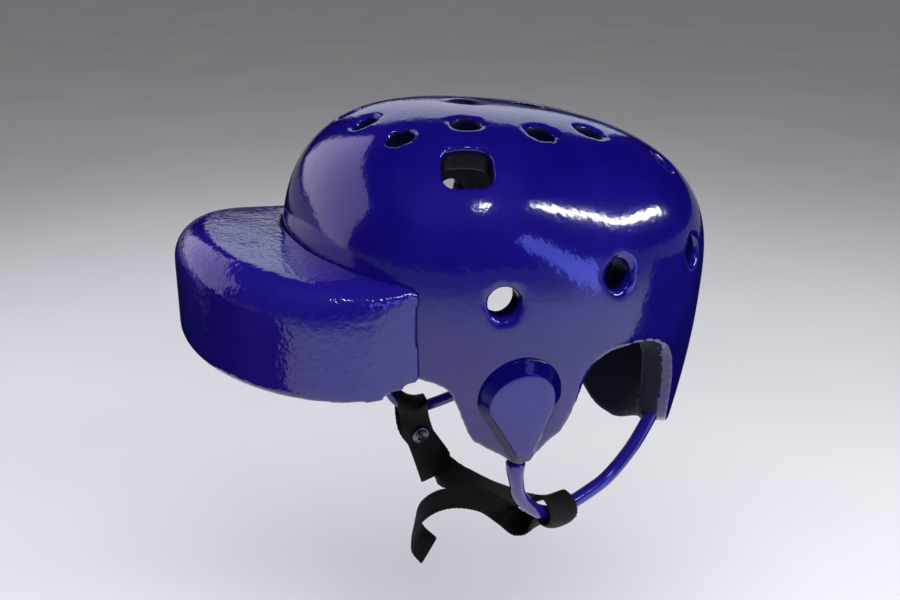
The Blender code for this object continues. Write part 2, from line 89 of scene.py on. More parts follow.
SHELL_HALF_WIDTH = 0.0958
SHELL_FRONT = 0.1030
SHELL_BACK = 0.1180
CROWN_HEIGHT = 0.0840
CROWN_FALL = 0.09
PLAN_POWER = 2.40
CROWN_POWER = 2.68
WALL = 0.0160

BROW_DEPTH = 0.0250
EAR_DEPTH = 0.0740
ARCH_DEPTH = 0.0190
NAPE_DEPTH = 0.1100
FLAP_TIP_PLACE = -0.243
NAPE_CORNER_PLACE = 0.715
NAPE_CORNER_SHARE = 0.72

VENT_DIAMETER = 0.0132
SIDE_VENT_DIAMETER = 0.0150
SQUARE_VENT_WIDTH = 0.0225
SQUARE_VENT_HEIGHT = 0.0205
SQUARE_VENT_CORNER = 0.0055

VISOR_REACH = 0.0550
VISOR_HALF_WIDTH = 0.0800
VISOR_END_FRONT = 0.0940
VISOR_TOP_FRONT = 0.0305
VISOR_TOP_END = 0.0160
VISOR_TOP_INNER = 0.0205
VISOR_BOTTOM_FRONT = 0.0225
VISOR_BOTTOM_END = 0.0300
VISOR_BOTTOM_INNER = 0.0200
VISOR_ROUNDING = 0.0150
VISOR_UNDER_ROUNDING = 0.0050
VISOR_POWER = 2.10
VISOR_STEPS = 96
VISOR_ROUND_PARTS = 12
VISOR_UNDER_PARTS = 6
# The visor's root inside the shell, as shares of the visor's half width and of the shell's front reach.
VISOR_ROOT_WIDTH = 0.93
VISOR_ROOT_END = 0.50
VISOR_ROOT_AHEAD = 0.25

PAD_RISE = 0.0045
PAD_RADIUS = 0.0200
PAD_CENTRE_FORWARD = 0.0272
PAD_CENTRE_DEPTH = 0.0340
PAD_TIP_WIDTH = 0.0090
PAD_MIDDLE_DROP = 1.25
# The arc of a pad's round head in degrees, and the parts that its head, sides and tip are drawn in.
PAD_HEAD_START = -12
PAD_HEAD_SWEEP = 204
PAD_HEAD_PARTS = 32
PAD_SIDE_PARTS = 12
PAD_TIP_PARTS = 4

CORD_DIAMETER = 0.0073
LOOP_DROP = 0.0430
LOOP_INSET = 0.0060
RIGHT_LOOP_SWING = 0.0170
RIGHT_LOOP_DROP = 0.0455

STRAP_WIDTH = 0.0190
STRAP_THICKNESS = 0.0016
WRAP_SLACK = 0.0032
STRAP_SAG = 0.0430
TAB_LENGTH = 0.0530
TAIL_LENGTH = 0.0930
SNAP_DIAMETER = 0.0115
SNAP_HEIGHT = 0.0026
SNAP_SEAT = 0.0008

# Angles of the strap's wraps round the cords in degrees, 0 being outward and 90 up.
FAR_WRAP = (180, 0)
NEAR_WRAP = (120, -120)
WRAP_STEP = 30

RING_COLUMNS = 176
CROWN_RINGS = 32
SKIRT_STEPS = 4
VENT_SIDES = 40
VENT_CUT = 0.0420
VENT_UP = (0, 1, 0.3)
PATH_STEPS = 8
SNAP_SIDES = 48
SNAP_STEPS = 3

# The rim's cutter: from inside the shell to outside it as shares of its reach, and down to a share of
# the nape's depth.
RIM_CUT_INNER = 0.3
RIM_CUT_OUTER = 1.3
RIM_CUT_FLOOR = 1.4
# How deep a cord is seated in its flap, as a share of the wall.
FLAP_SEAT = 0.35
# The search for the crown's surface: its ceiling as a share of the crown's height, and its halvings.
CROWN_CEILING = 1.3
CROWN_HALVINGS = 40
SLOPE_STEP = 0.0004

HELMET_HEIGHT = WALL - CROWN_HEIGHT

# The skirt below the widest section: depth as a share of the nape's, girth as a share of the widest.
SKIRT = (
    ("depth", "girth"),
    (0.14, 0.996),
    (0.28, 0.988),
    (0.42, 0.974),
    (0.56, 0.956),
    (0.70, 0.934),
    (0.85, 0.908),
    (1.00, 0.878),
    (1.16, 0.845),
)

# The rim of the left half, from the brow's middle to the nape's: place along the level curve as a
# share of the front or back reach, and depth as a share of a named depth.
RIM = (
    ("place", "depth name", "share"),
    (-1.000, "brow", 0.96),
    (-0.930, "brow", 0.96),
    (-0.716, "brow", 1.00),
    (-0.630, "brow", 1.08),
    (-0.580, "brow", 1.24),
    (-0.553, "ear", 0.51),
    (-0.531, "ear", 0.61),
    (-0.485, "ear", 0.76),
    (-0.388, "ear", 0.86),
    (-0.292, "ear", 0.955),
    (FLAP_TIP_PLACE, "ear", 1.00),
    (-0.194, "ear", 0.965),
    (-0.120, "ear", 0.87),
    (-0.040, "ear", 0.79),
    (0.012, "ear", 0.68),
    (0.040, "ear", 0.54),
    (0.069, "arch", 1.58),
    (0.111, "arch", 1.26),
    (0.188, "arch", 1.05),
    (0.282, "arch", 1.00),
    (0.402, "arch", 1.10),
    (0.479, "arch", 1.31),
    (0.545, "nape", 0.29),
    (0.605, "nape", 0.41),
    (0.640, "nape", 0.52),
    (0.672, "nape", 0.63),
    (NAPE_CORNER_PLACE, "nape", NAPE_CORNER_SHARE),
    (0.800, "nape", 0.79),
    (0.900, "nape", 0.85),
    (0.965, "nape", 0.915),
    (1.000, "nape", 1.00),
)

# Round vents over the crown: across as a share of the half width, along as a share of the front or
# back reach.
CROWN_VENTS = (
    ("across", "along"),
    (0.00, -0.64),
    (0.00, -0.12),
    (0.00, 0.21),
    (0.00, 0.46),
    (0.34, -0.60),
    (0.40, -0.30),
    (0.53, 0.02),
    (0.47, 0.28),
    (0.55, 0.63),
)

# Round vents in the level ring round the sides: along as above, height as a share of the crown's.
SIDE_VENTS = (
    ("along", "height"),
    (-0.36, 0.15),
    (0.18, 0.22),
    (0.65, 0.22),
)

SQUARE_VENT_ACROSS = 0.68
SQUARE_VENT_ALONG = -0.42

# A cord loop from the tip of an ear flap to the nape: share of the way, drop and inset as shares.
LOOP = (
    ("way", "drop", "inset"),
    (0.000, 0.00, 0.00),
    (0.000, 0.10, 0.00),
    (0.015, 0.25, 0.10),
    (0.057, 0.51, 0.50),
    (0.155, 0.78, 0.80),
    (0.258, 0.94, 0.95),
    (0.365, 0.99, 0.95),
    (0.550, 0.89, 0.70),
    (0.704, 0.75, 0.50),
    (0.849, 0.48, 0.30),
    (0.945, 0.20, 0.15),
    (1.010, -0.06, 0.00),
    (1.060, -0.26, 0.00),
)
WRAP_PLACES = {"left": 0.472, "right": 0.444}

# The strap between the loops: share of the way, drop as a share of the sag, shift towards the back as
# a share of the strap's width, and the direction of its width.
CROSSING = (
    ("way", "drop", "shift", "width direction"),
    (0.008, 0.26, 0.05, (0.00, 0.97, 0.24)),
    (0.016, 0.47, 0.30, (0.00, 0.95, 0.31)),
    (0.015, 0.70, 0.62, (0.00, 0.85, 0.52)),
    (0.018, 0.91, 0.92, (0.05, 0.65, 0.76)),
    (0.050, 1.04, 1.02, (0.30, 0.40, 0.86)),
    (0.165, 0.99, 0.85, (0.30, 0.70, 0.65)),
    (0.390, 0.76, 0.66, (0.10, 0.95, 0.30)),
    (0.625, 0.44, 0.26, (-0.06, 0.99, 0.12)),
    (0.825, 0.15, 0.00, (-0.12, 0.99, 0.03)),
    (0.920, -0.03, -0.05, (-0.14, 0.99, 0.00)),
)

# The snapped tab, from its end up to the cord: places from the wrap as shares of the tab's length.
TAB = (
    ("place", "width direction"),
    ((0.135, 0.29, -0.96), (0.05, 0.96, 0.28)),
    ((0.100, 0.20, -0.64), (0.03, 0.96, 0.28)),
    ((0.090, 0.10, -0.34), (0.00, 0.96, 0.28)),
    ((0.118, 0.04, -0.16), (0.00, 0.97, 0.24)),
)

# Rows between a snap and the strap's nearer end.
TAB_SNAP_ROW = 2
TAIL_SNAP_ROW = 6

# The loose tail, from the wrap to its end: places from the wrap as shares of the tail's length.
TAIL = (
    ("place", "width direction"),
    ((-0.095, -0.040, -0.135), (-0.25, 0.96, 0.00)),
    ((-0.165, -0.110, -0.145), (-0.50, 0.85, 0.05)),
    ((-0.215, -0.200, -0.075), (-0.72, 0.68, 0.10)),
    ((-0.274, -0.310, 0.000), (-0.85, 0.52, 0.10)),
    ((-0.349, -0.446, 0.006), (-0.89, 0.44, 0.00)),
    ((-0.430, -0.545, -0.058), (-0.88, 0.44, 0.05)),
    ((-0.498, -0.606, -0.180), (-0.80, 0.48, 0.16)),
    ((-0.525, -0.590, -0.330), (-0.68, 0.62, 0.26)),
    ((-0.489, -0.530, -0.419), (-0.60, 0.74, 0.31)),
)


def spow(value, power):
    """The power of a value's size, with the value's sign."""
    return math.copysign(abs(value) ** power, value)


def shell_length(y):
    """The shell's reach on the side of the middle that a length lies on."""
    return SHELL_BACK if y > 0 else SHELL_FRONT


def skirt_girth(depth):
    """Girth share at a depth below the widest section."""
    rows = ((0.0, 1.0),) + SKIRT[1:]
    share = depth / NAPE_DEPTH
    for (d0, g0), (d1, g1) in zip(rows, rows[1:]):
        if share <= d1:
            return g0 + (g1 - g0) * (share - d0) / (d1 - d0)
    return rows[-1][1]


def girth(y, z):
    """Girth share of the outer surface's level curve through a point."""
    if z <= 0:
        return skirt_girth(-z)
    rise = min(z / CROWN_HEIGHT, 1.0)
    level = min((z + CROWN_FALL * y * rise) / CROWN_HEIGHT, 1.0)
    return max(1.0 - abs(level) ** CROWN_POWER, 0.0) ** (1 / CROWN_POWER)


def beyond(point):
    """Positive outside the shell's outer surface, negative inside."""
    across = abs(point.x / SHELL_HALF_WIDTH) ** PLAN_POWER
    along = abs(point.y / shell_length(point.y)) ** PLAN_POWER
    return (across + along) ** (1 / PLAN_POWER) - girth(point.y, point.z)


def outward(point):
    """Unit normal of the shell's outer surface at a point on it."""
    slopes = []
    for axis in (Vector((1, 0, 0)), Vector((0, 1, 0)), Vector((0, 0, 1))):
        slopes.append(beyond(point + SLOPE_STEP * axis) - beyond(point - SLOPE_STEP * axis))
    return Vector(slopes).normalized()


def on_side(y, z, side=1):
    """Point of the outer surface at a length and height, on one side."""
    share = girth(y, z) ** PLAN_POWER - abs(y / shell_length(y)) ** PLAN_POWER
    return Vector((side * SHELL_HALF_WIDTH * max(share, 0.0) ** (1 / PLAN_POWER), y, z))


def on_crown(x, y):
    """Point of the outer surface above the widest section, over a place in plan."""
    low, high = 0.0, CROWN_CEILING * CROWN_HEIGHT
    for _ in range(CROWN_HALVINGS):
        middle = (low + high) / 2
        if beyond(Vector((x, y, middle))) < 0:
            low = middle
        else:
            high = middle
    return Vector((x, y, low))


def along_shell(share):
    """Length at a share of the front reach, when negative, or of the back reach."""
    return share * (SHELL_BACK if share > 0 else SHELL_FRONT)


def smooth_path(points, steps):
    """A Catmull-Rom curve through the points, ends included."""
    points = [Vector(p) for p in points]
    ends = [2 * points[0] - points[1]] + points + [2 * points[-1] - points[-2]]
    path = []
    for i in range(1, len(ends) - 2):
        a, b, c, d = ends[i - 1 : i + 3]
        for j in range(steps):
            t = j / steps
            curve = 2 * b + (c - a) * t + (2 * a - 5 * b + 4 * c - d) * t**2
            path.append((curve + (3 * b - a - 3 * c + d) * t**3) / 2)
    return path + [points[-1]]


def heading(path, i):
    """Direction of a path at one of its points."""
    return (path[min(i + 1, len(path) - 1)] - path[max(i - 1, 0)]).normalized()


def new_object(name, bm):
    """A linked object from a bmesh, hung at the helmet's height."""
    bmesh.ops.recalc_face_normals(bm, faces=bm.faces)
    mesh = bpy.data.meshes.new(name)
    bm.to_mesh(mesh)
    bm.free()
    made = bpy.data.objects.new(name, mesh)
    bpy.context.scene.collection.objects.link(made)
    made.location.z = HELMET_HEIGHT
    return made


def as_cutter(made):
    """Hides an object that only cuts others."""
    made.hide_render = True
    return made


def cut_away(target, other):
    """Cuts one object's solid out of another."""
    cut = target.modifiers.new(f"difference {other.name}", "BOOLEAN")
    cut.operation = "DIFFERENCE"
    cut.object = other
    cut.solver = "EXACT"


def bake(made, *used):
    """Applies an object's modifiers and removes the cutters that they used."""
    bpy.context.view_layer.update()
    graph = bpy.context.evaluated_depsgraph_get()
    mesh = bpy.data.meshes.new_from_object(made.evaluated_get(graph))
    made.modifiers.clear()
    made.data = mesh
    made.data.shade_smooth()
    for cutter in used:
        bpy.data.objects.remove(cutter)


def soften(made, voxel, rounds):
    """The soft edges that dipping leaves: a fine remesh, smoothed."""
    remesh = made.modifiers.new("remesh", "REMESH")
    remesh.mode = "VOXEL"
    remesh.voxel_size = voxel
    smooth = made.modifiers.new("smooth", "SMOOTH")
    smooth.factor = 0.5
    smooth.iterations = rounds
    bake(made)


def dress(made, node, material):
    """Hides the CAD node's part that a piece stands for, hangs the piece on the root body, and gives it
    its material.
    """
    made.data.materials.clear()
    made.data.materials.append(material)
    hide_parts(node)
    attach(made, "root")


def placed(point, x_axis, y_axis, z_axis):
    """Matrix with three axes at a point."""
    axes = Matrix((x_axis, y_axis, z_axis)).transposed().to_4x4()
    return Matrix.Translation(point) @ axes


def turned_to(point, normal, up=Vector((0, 0, 1))):
    """Matrix whose Z is the normal and whose Y leans towards up, at a point."""
    side = up.cross(normal).normalized()
    return placed(point, side, normal.cross(side), normal)


def add_ring(bm, points):
    """Vertices at the points."""
    return [bm.verts.new(p) for p in points]


def bridge(bm, first, second):
    """Faces between two closed rings of equal length."""
    count = len(first)
    for i in range(count):
        j = (i + 1) % count
        bm.faces.new((first[i], first[j], second[j], second[i]))


def loft(bm, rings):
    """A closed solid through rings of equal length, capped at both ends."""
    made = [add_ring(bm, ring) for ring in rings]
    for first, second in zip(made, made[1:]):
        bridge(bm, first, second)
    bm.faces.new(made[0])
    bm.faces.new(made[-1])


def shell_surface(grow=0.0, closed=False):
    """The shell's outer surface, moved out by a distance, with its foot closed or open."""
    bm = bmesh.new()
    rings = []
    rows = [(0, 1, 0)] + [(depth, share, 0) for depth, share in SKIRT[1:]]
    skirt = smooth_path(rows, SKIRT_STEPS)
    for row in reversed(skirt):
        rings.append((-row.x * NAPE_DEPTH, row.y, 0.0))
    for row in range(1, CROWN_RINGS):
        angle = math.radians(90 * row / CROWN_RINGS)
        lift = math.sin(angle) ** (2 / CROWN_POWER)
        rings.append((CROWN_HEIGHT * lift, math.cos(angle) ** (2 / CROWN_POWER), lift))
    made = []
    for height, share, lift in rings:
        ring = []
        for column in range(RING_COLUMNS):
            angle = 2 * math.pi * column / RING_COLUMNS
            x = SHELL_HALF_WIDTH * share * spow(math.cos(angle), 2 / PLAN_POWER)
            side = spow(math.sin(angle), 2 / PLAN_POWER)
            y = share * side * shell_length(side)
            ring.append((x, y, height - CROWN_FALL * y * lift))
        made.append(add_ring(bm, ring))
    for first, second in zip(made, made[1:]):
        bridge(bm, first, second)
    apex = bm.verts.new((0, 0, CROWN_HEIGHT))
    for i in range(RING_COLUMNS):
        bm.faces.new((made[-1][i], made[-1][(i + 1) % RING_COLUMNS], apex))
    if closed:
        bm.faces.new(made[0])
    bmesh.ops.recalc_face_normals(bm, faces=bm.faces)
    bm.normal_update()
    if grow:
        moves = [(v, v.normal.copy()) for v in bm.verts]
        for vert, normal in moves:
            if vert.co.z > -NAPE_DEPTH:
                vert.co += grow * normal
            else:
                vert.co += grow * Vector((normal.x, normal.y, 0)).normalized()
    return bm


def make_rim_cutter():
    """All that lies below the rim, cut along lines from the middle, square to the wall."""
    depths = {"brow": BROW_DEPTH, "ear": EAR_DEPTH, "arch": ARCH_DEPTH, "nape": NAPE_DEPTH}
    line = []
    for place, name, share in RIM[1:]:
        line.append((spow(place, PLAN_POWER / 2), share * depths[name], 0))
    path = smooth_path(line, PATH_STEPS)
    left = [(math.asin(max(-1.0, min(1.0, p.x))), p.y) for p in path]
    right = [(math.pi - angle, depth) for angle, depth in reversed(left[1:-1])]
    inner, outer, floor = RIM_CUT_INNER, RIM_CUT_OUTER, RIM_CUT_FLOOR * NAPE_DEPTH
    rings = []
    for angle, depth in left + right:
        ring = []
        for share, down in ((inner, depth), (outer, depth), (outer, floor), (inner, floor)):
            x = SHELL_HALF_WIDTH * share * spow(math.cos(angle), 2 / PLAN_POWER)
            along = share * spow(math.sin(angle), 2 / PLAN_POWER)
            ring.append((x, along * shell_length(along), -down))
        rings.append(ring)
    bm = bmesh.new()
    made = [add_ring(bm, ring) for ring in rings]
    for first, second in zip(made, made[1:] + made[:1]):
        bridge(bm, first, second)
    return as_cutter(new_object("rim_cutter", bm))


def rounded_square(width, height, corner):
    """Outline of a rounded rectangle, four points to a corner."""
    outline = []
    for quarter in range(4):
        turn = math.radians(90 * quarter)
        sx = 1 if quarter in (0, 3) else -1
        sy = 1 if quarter in (0, 1) else -1
        for part in range(4):
            angle = turn + math.radians(30 * part)
            x = sx * (width / 2 - corner) + corner * math.cos(angle)
            y = sy * (height / 2 - corner) + corner * math.sin(angle)
            outline.append((x, y))
    return outline


def make_vent_cutter():
    """Plugs through the wall: round ones over the crown and sides, and two rounded squares."""
    bm = bmesh.new()
    plugs = []
    for across, along in CROWN_VENTS[1:]:
        for side in (-1, 1) if across else (1,):
            place = on_crown(side * across * SHELL_HALF_WIDTH, along_shell(along))
            plugs.append((place, VENT_DIAMETER))
    for along, height in SIDE_VENTS[1:]:
        for side in (-1, 1):
            place = on_side(along_shell(along), height * CROWN_HEIGHT, side)
            plugs.append((place, SIDE_VENT_DIAMETER))
    for place, diameter in plugs:
        middle = place - 0.5 * WALL * outward(place)
        bmesh.ops.create_cone(
            bm,
            cap_ends=True,
            segments=VENT_SIDES,
            radius1=diameter / 2,
            radius2=diameter / 2,
            depth=VENT_CUT,
            matrix=turned_to(middle, outward(place), Vector(VENT_UP)),
        )
    outline = rounded_square(SQUARE_VENT_WIDTH, SQUARE_VENT_HEIGHT, SQUARE_VENT_CORNER)
    for side in (-1, 1):
        across = side * SQUARE_VENT_ACROSS * SHELL_HALF_WIDTH
        place = on_crown(across, along_shell(SQUARE_VENT_ALONG))
        plug = turned_to(place - 0.5 * WALL * outward(place), outward(place))
        ends = (-VENT_CUT / 2, VENT_CUT / 2)
        loft(bm, [[plug @ Vector((x, y, z)) for x, y in outline] for z in ends])
    return as_cutter(new_object("vent_cutter", bm))


def visor_section(angle):
    """One upright section of the visor, from inside the shell out to its front face and back."""
    across = spow(math.sin(angle), 2 / VISOR_POWER)
    ahead = abs(math.cos(angle)) ** (2 / VISOR_POWER)
    tip_reach = SHELL_FRONT + VISOR_REACH - VISOR_END_FRONT
    tip = Vector((VISOR_HALF_WIDTH * across, -VISOR_END_FRONT - tip_reach * ahead, 0))
    root_y = -VISOR_ROOT_END * SHELL_FRONT - VISOR_ROOT_AHEAD * SHELL_FRONT * ahead
    root = Vector((VISOR_ROOT_WIDTH * VISOR_HALF_WIDTH * across, root_y, 0))
    way = (tip - root).normalized()
    length = (tip - root).length
    top = VISOR_TOP_END + (VISOR_TOP_FRONT - VISOR_TOP_END) * ahead
    bottom = -VISOR_BOTTOM_END + (VISOR_BOTTOM_END - VISOR_BOTTOM_FRONT) * ahead
    section = [(0.0, VISOR_TOP_INNER)]
    for part in range(VISOR_ROUND_PARTS + 1):
        turn = math.radians(90 * part / VISOR_ROUND_PARTS)
        out = length - VISOR_ROUNDING * (1 - math.sin(turn))
        section.append((out, top - VISOR_ROUNDING * (1 - math.cos(turn))))
    for part in range(VISOR_UNDER_PARTS + 1):
        turn = math.radians(90 * part / VISOR_UNDER_PARTS)
        out = length - VISOR_UNDER_ROUNDING * (1 - math.cos(turn))
        section.append((out, bottom + VISOR_UNDER_ROUNDING * (1 - math.sin(turn))))
    section.append((0.0, -VISOR_BOTTOM_INNER))
    return [root + out * way + Vector((0, 0, height)) for out, height in section]


def loop_ends(side):
    """Where a cord loop leaves the ear flap's tip and meets the rim at the nape's lower corner."""
    corner_depth = NAPE_CORNER_SHARE * NAPE_DEPTH
    tip = on_side(along_shell(FLAP_TIP_PLACE * skirt_girth(EAR_DEPTH)), -EAR_DEPTH, side)
    seat = tip - FLAP_SEAT * WALL * outward(tip)
    seat.z = -EAR_DEPTH - GAP
    corner_y = along_shell(NAPE_CORNER_PLACE * skirt_girth(corner_depth))
    corner = on_side(corner_y, -corner_depth, side)
    return seat, corner - 0.5 * WALL * outward(corner)


def loop_point(side, way, drop, inset):
    """Point of a cord loop, from its shares of the way, the drop and the inset."""
    tip, corner = loop_ends(side)
    depth = LOOP_DROP if side > 0 else RIGHT_LOOP_DROP
    swing = 0.0 if side > 0 else RIGHT_LOOP_SWING * max(drop, 0.0)
    return tip.lerp(corner, way) + Vector((-side * inset * LOOP_INSET, -swing, -drop * depth))


def loop_route(side):
    """The smooth centre line of a cord loop."""
    return smooth_path([loop_point(side, *row) for row in LOOP[1:]], PATH_STEPS)


def wrap_frame(side, place):
    """Where the strap wraps a loop: centre, outward direction, cord direction and the cord's bow."""
    route = loop_route(side)
    at = round(place * (len(route) - 1))
    before, here, after = route[at - 2], route[at], route[at + 2]
    cord = (after - before).normalized()
    out = Vector((side, 0, 0))
    out = (out - out.dot(cord) * cord).normalized()
    bow = (before + after - 2 * here) * (STRAP_WIDTH / (after - before).length) ** 2 / 2
    return here, out, cord, bow - bow.dot(cord) * cord


def wrap_rows(wrap, first, last):
    """Strap rows round a loop, from one angle down to another."""
    centre, out, cord, bow = wrap
    around = CORD_DIAMETER / 2 + WRAP_SLACK + STRAP_THICKNESS / 2
    rows = []
    for turn in range(first, last - 1, -WRAP_STEP):
        angle = math.radians(turn)
        spoke = math.cos(angle) * out + math.sin(angle) * Vector((0, 0, 1))
        rows.append((centre + around * spoke, cord, bow))
    return rows


def strap_path():
    """Places, width directions and bows along the strap, from the tab's end to the tail's end."""
    near = wrap_frame(1, WRAP_PLACES["left"])
    far = wrap_frame(-1, WRAP_PLACES["right"])
    flat = Vector((0, 0, 0))
    rows = []
    for place, width in TAB[1:]:
        rows.append((far[0] + TAB_LENGTH * Vector(place), Vector(width), flat))
    rows += wrap_rows(far, *FAR_WRAP)
    for way, drop, shift, width in CROSSING[1:]:
        place = far[0].lerp(near[0], way) + Vector((0, shift * STRAP_WIDTH, -drop * STRAP_SAG))
        rows.append((place, Vector(width), flat))
    rows += wrap_rows(near, *NEAR_WRAP)
    for place, width in TAIL[1:]:
        rows.append((near[0] + TAIL_LENGTH * Vector(place), Vector(width), flat))
    return [smooth_path([row[i] for row in rows], STRAP_STEPS) for i in range(3)]


def ribbon_frame(places, widths, i):
    """Width and face directions of the strap at one place of its path."""
    run = heading(places, i)
    across = (widths[i] - widths[i].dot(run) * run).normalized()
    return across, across.cross(run).normalized()


def paint_inside_shade(shell, material):
    """Paints shade on the faces that lie deep in the wall or behind it, by giving them a dark material.
    """
    shell.data.materials.append(material)
    for face in shell.data.polygons:
        # Faces this deep are painted dark as shade.
        if -beyond(face.center) * SHELL_HALF_WIDTH > INSIDE_SHADE_DEPTH:
            face.material_index = 1


def make_shell(material, inside_shade):
    """The padded shell, open below, with its rim and vents cut and every edge rounded."""
    shell = new_object("helmet_shell", shell_surface())
    wall = shell.modifiers.new("wall", "SOLIDIFY")
    wall.thickness = WALL
    wall.offset = -1
    wall.use_even_offset = True
    rim, vents = make_rim_cutter(), make_vent_cutter()
    cut_away(shell, rim)
    cut_away(shell, vents)
    bake(shell, rim, vents)
    soften(shell, SHELL_VOXEL, SHELL_SMOOTHING)
    dress(shell, "foam_shell", material)
    paint_inside_shade(shell, inside_shade)


def make_visor(material):
    """The foam visor, seated on the shell's curve."""
    bm = bmesh.new()
    angles = [math.pi * (i / VISOR_STEPS - 0.5) for i in range(VISOR_STEPS + 1)]
    loft(bm, [visor_section(angle) for angle in angles])
    visor = new_object("foam_visor", bm)
    seat = new_object("visor_seat", shell_surface(GAP, closed=True))
    cut_away(visor, seat)
    bake(visor, seat)
    soften(visor, VISOR_VOXEL, VISOR_SMOOTHING)
    dress(visor, "visor_block", material)


# Section of an ear pad from its edge to its middle, as shares of the outline and of the pad's rise.
PAD_SECTION = (
    ("outline", "rise"),
    (1.000, -0.30),
    (1.000, 0.14),
    (0.992, 0.26),
    (0.970, 0.34),
    (0.880, 0.58),
    (0.790, 0.86),
    (0.760, 0.95),
    (0.715, 1.00),
    (0.480, 1.04),
    (0.240, 1.06),
    (0.020, 1.06),
)


def pad_outline():
    """Side view of an ear pad: a round head drawn down to a narrow tip on the flap's tip."""
    centre = Vector((-PAD_CENTRE_FORWARD, -PAD_CENTRE_DEPTH, 0))
    tip_y = along_shell(FLAP_TIP_PLACE * skirt_girth(EAR_DEPTH))
    outline = []
    for part in range(PAD_HEAD_PARTS + 1):
        turn = math.radians(PAD_HEAD_START + PAD_HEAD_SWEEP * part / PAD_HEAD_PARTS)
        outline.append(centre + PAD_RADIUS * Vector((math.cos(turn), math.sin(turn), 0)))
    foot = -EAR_DEPTH + 0.5 * CORD_DIAMETER
    tips = [Vector((tip_y + share * PAD_TIP_WIDTH, foot, 0)) for share in (-0.5, 0.5)]
    for step in range(1, PAD_SIDE_PARTS + 1):
        outline.append(outline[PAD_HEAD_PARTS].lerp(tips[0], step / PAD_SIDE_PARTS))
    for step in range(1, PAD_TIP_PARTS + 1):
        outline.append(tips[0].lerp(tips[1], step / PAD_TIP_PARTS))
    for step in range(1, PAD_SIDE_PARTS):
        outline.append(tips[1].lerp(outline[0], step / PAD_SIDE_PARTS))
    return outline


def shade_slope(pad, side, material):
    """Paints shade on the pad's sloping band, by giving it a darker, duller material."""
    pad.data.materials.append(material)
    for face in pad.data.polygons:
        level = outward(on_side(face.center.y, face.center.z, side))
        # Faces that lean away from the level surface get the painted shade.
        if face.normal.dot(level) < PAD_SLOPE:
            face.material_index = 1


def make_pads(material, band):
    """A raised teardrop with a sloping edge on each ear flap."""
    middle = Vector((-PAD_CENTRE_FORWARD, -PAD_MIDDLE_DROP * PAD_CENTRE_DEPTH, 0))
    for side, name in ((1, "left"), (-1, "right")):
        rings = []
        for share, rise in PAD_SECTION[1:]:
            ring = []
            for point in pad_outline():
                flat = middle.lerp(point, share)
                place = on_side(flat.x, flat.y, side)
                ring.append(place + rise * PAD_RISE * outward(place))
            rings.append(ring)
        bm = bmesh.new()
        loft(bm, rings)
        pad = new_object(f"ear_pad_cover_{name}", bm)
        smooth = pad.modifiers.new("round", "SUBSURF")
        smooth.levels = smooth.render_levels = 1
        bake(pad)
        dress(pad, f"ear_pad_{name}", material)
        shade_slope(pad, side, band)


def make_cords(material):
    """The coated cords from the flaps' tips to the nape."""
    for side, name in ((1, "left"), (-1, "right")):
        route = loop_route(side)
        rings = []
        for i, place in enumerate(route):
            run = heading(route, i)
            over = run.cross(Vector((side, 0, 0))).normalized()
            away = (place - route[0]).length / CORD_DIAMETER
            radius = CORD_DIAMETER / 2 * (1 + CORD_FLARE * math.exp(-(away**2)))
            ring = []
            for part in range(CORD_SIDES):
                turn = math.radians(360 / CORD_SIDES * part)
                spoke = math.cos(turn) * over + math.sin(turn) * run.cross(over)
                ring.append(place + radius * spoke)
            rings.append(ring)
        bm = bmesh.new()
        loft(bm, rings)
        cord = new_object(f"coated_cord_{name}", bm)
        cord.data.shade_smooth()
        dress(cord, f"cord_loop_{name}", material)


def make_strap(material):
    """The webbing, with its yarns' serrated edges, and a map of metres along and across it."""
    places, widths, bows = strap_path()
    bm = bmesh.new()
    layer = bm.loops.layers.uv.new("weave")
    made, marks = [], []
    run = 0.0
    for i, place in enumerate(places):
        run += (place - places[i - 1]).length if i else 0.0
        across, face = ribbon_frame(places, widths, i)
        edge = STRAP_WIDTH / 2 + SERRATION * math.sin(2 * math.pi * run / (2 * YARN))
        ring, mark = [], []
        for over in (1, -1):
            for column in range(STRAP_COLUMNS + 1):
                share = over * (1 - 2 * column / STRAP_COLUMNS)
                thin = STRAP_THICKNESS / 2 * (STRAP_EDGE if column in (0, STRAP_COLUMNS) else 1.0)
                ring.append(place + share * edge * across + share**2 * bows[i] + over * thin * face)
                mark.append((run, share * STRAP_WIDTH / 2))
        made.append(add_ring(bm, ring))
        marks.append(mark)
    count = len(made[0])
    for i in range(len(made) - 1):
        for j in range(count):
            k = (j + 1) % count
            corners = ((i, j), (i, k), (i + 1, k), (i + 1, j))
            quad = bm.faces.new([made[row][column] for row, column in corners])
            for loop, (row, column) in zip(quad.loops, corners):
                loop[layer].uv = marks[row][column]
    bm.faces.new(made[0])
    bm.faces.new(made[-1])
    strap = new_object("webbing_strap", bm)
    strap.data.shade_smooth()
    dress(strap, "chin_strap", material)
    return places, widths


# A snap's section as shares of its radius and height: a dished middle in a rolled ring.
SNAP_SECTION = (
    ("radius", "height"),
    (0.00, 0.55),
    (0.30, 0.58),
    (0.42, 0.74),
    (0.50, 0.97),
    (0.58, 1.00),
    (0.66, 0.88),
    (0.72, 0.62),
    (0.86, 0.58),
    (0.95, 0.48),
    (1.00, 0.28),
    (0.97, 0.04),
    (0.90, 0.00),
    (0.00, 0.00),
)


def make_snap(name, node, place, face, material):
    """A turned snap with a rolled ring on its face."""
    seat = turned_to(place, face)
    section = [(r * SNAP_DIAMETER / 2, h * SNAP_HEIGHT, 0) for r, h in SNAP_SECTION[1:-1]]
    path = smooth_path(section, SNAP_STEPS)
    bm = bmesh.new()
    rings = []
    for point in path[1:]:
        ring = []
        for part in range(SNAP_SIDES):
            turn = 2 * math.pi * part / SNAP_SIDES
            spot = Vector((point.x * math.cos(turn), point.x * math.sin(turn), point.y))
            ring.append(seat @ spot)
        rings.append(ring)
    loft(bm, rings)
    snap = new_object(name, bm)
    snap.data.shade_smooth()
    dress(snap, node, material)


